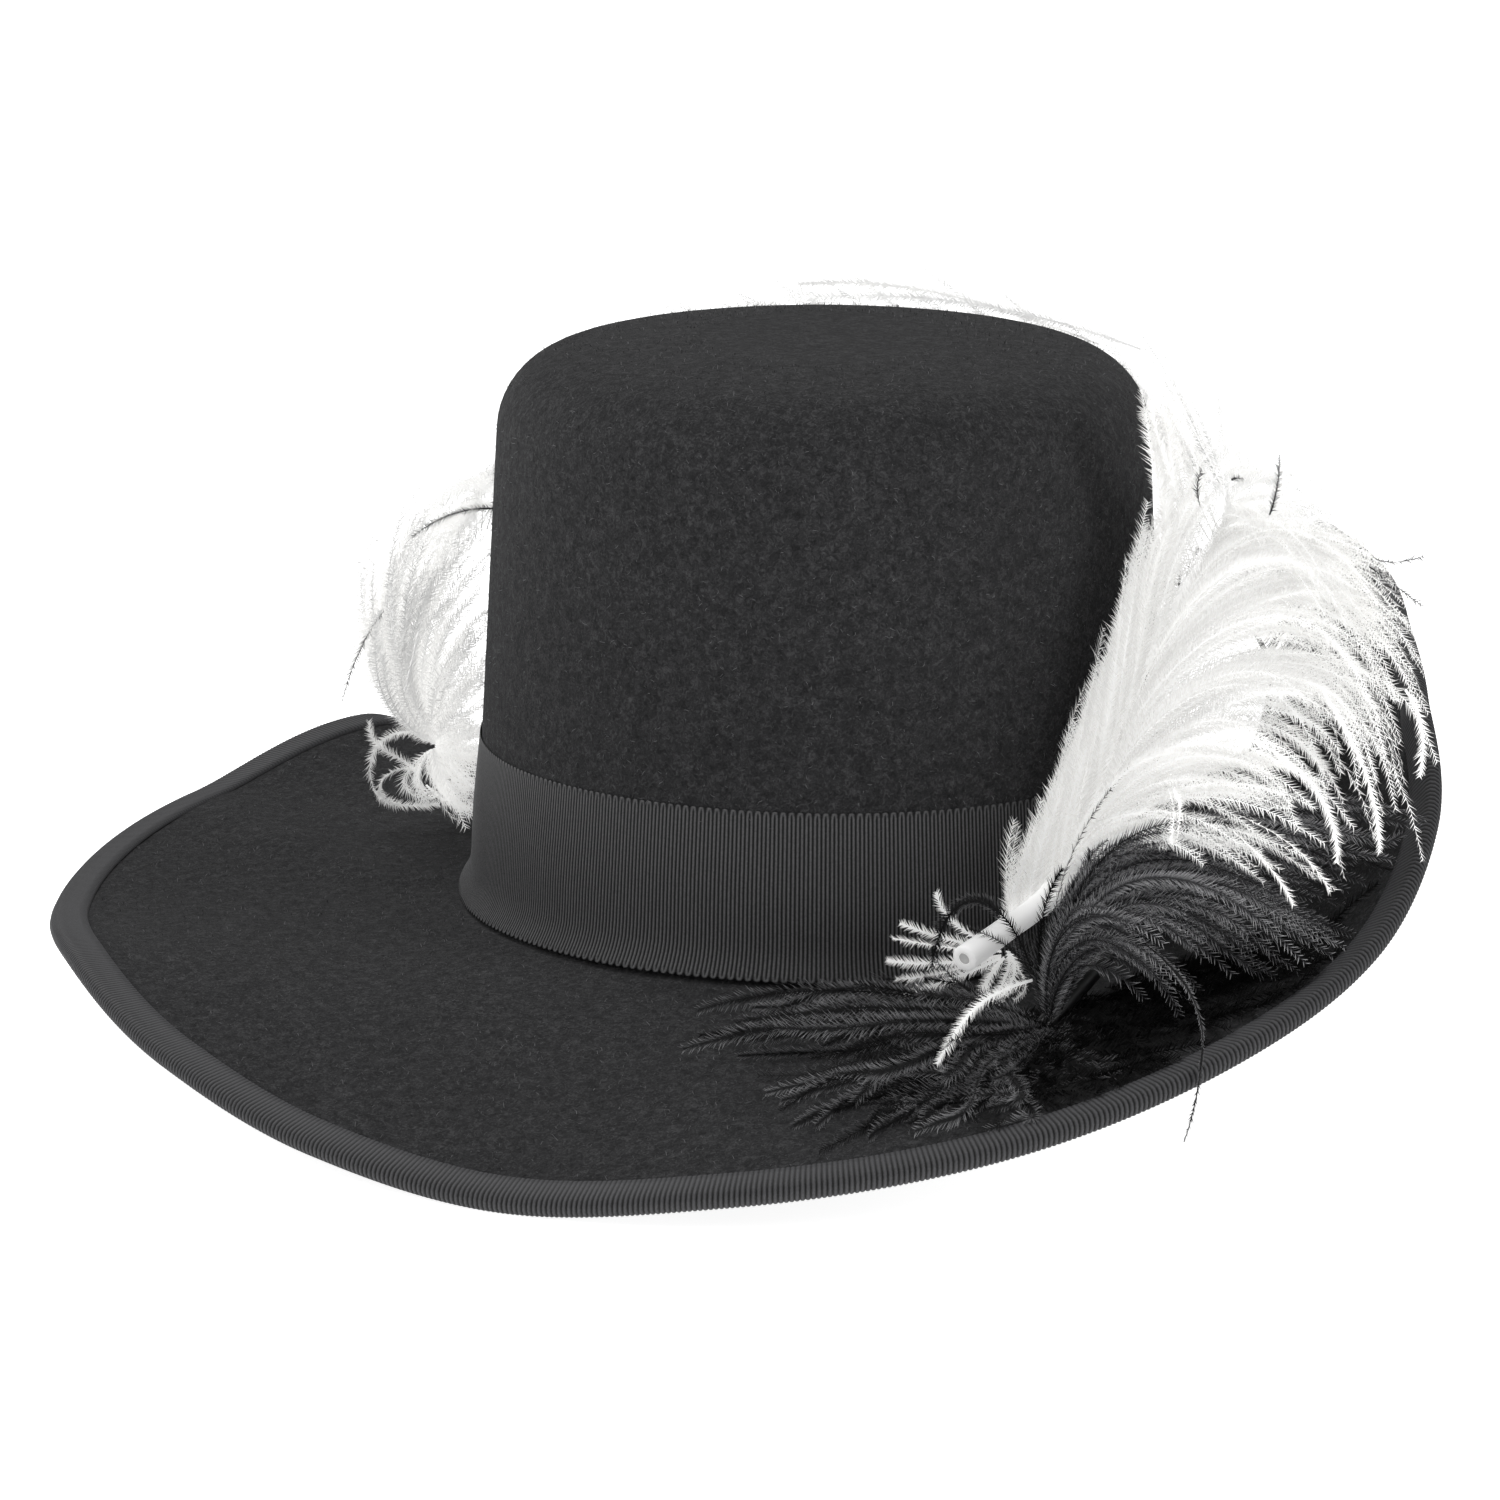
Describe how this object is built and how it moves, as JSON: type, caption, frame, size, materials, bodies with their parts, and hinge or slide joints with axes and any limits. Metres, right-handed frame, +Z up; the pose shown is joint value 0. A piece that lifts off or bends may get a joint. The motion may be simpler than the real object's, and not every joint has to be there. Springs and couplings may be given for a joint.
{
  "type": "cavalier hat",
  "caption": "Wide-brimmed felt cavalier hat with a tall flat-topped crown, ribbed ribbon band and edge binding, one side turned up, and a white and a black ostrich plume.",
  "frame": {"origin": "the middle of the head opening, in the plane where the crown meets the brim", "axes": "+Z up through the crown, -Y the wearer's front, +X the turned-up side on the wearer's left"},
  "size_m": [0.3359, 0.4047, 0.1698],
  "materials": {
    "wool_felt": "soft matte charcoal felt with a short nap",
    "band_ribbon": "ribbed ribbon with a faint sheen",
    "binding_ribbon": "ribbed ribbon with a faint sheen, a little paler than the felt",
    "white_ostrich": "soft white ostrich barbs",
    "black_ostrich": "soft black ostrich barbs"
  },
  "bodies": {
    "root": {"felt_hat_body": "wool_felt", "crown_band": "band_ribbon", "brim_binding": "binding_ribbon", "white_plume": "white_ostrich", "black_plume": "black_ostrich"}
  },
  "joints": []
}
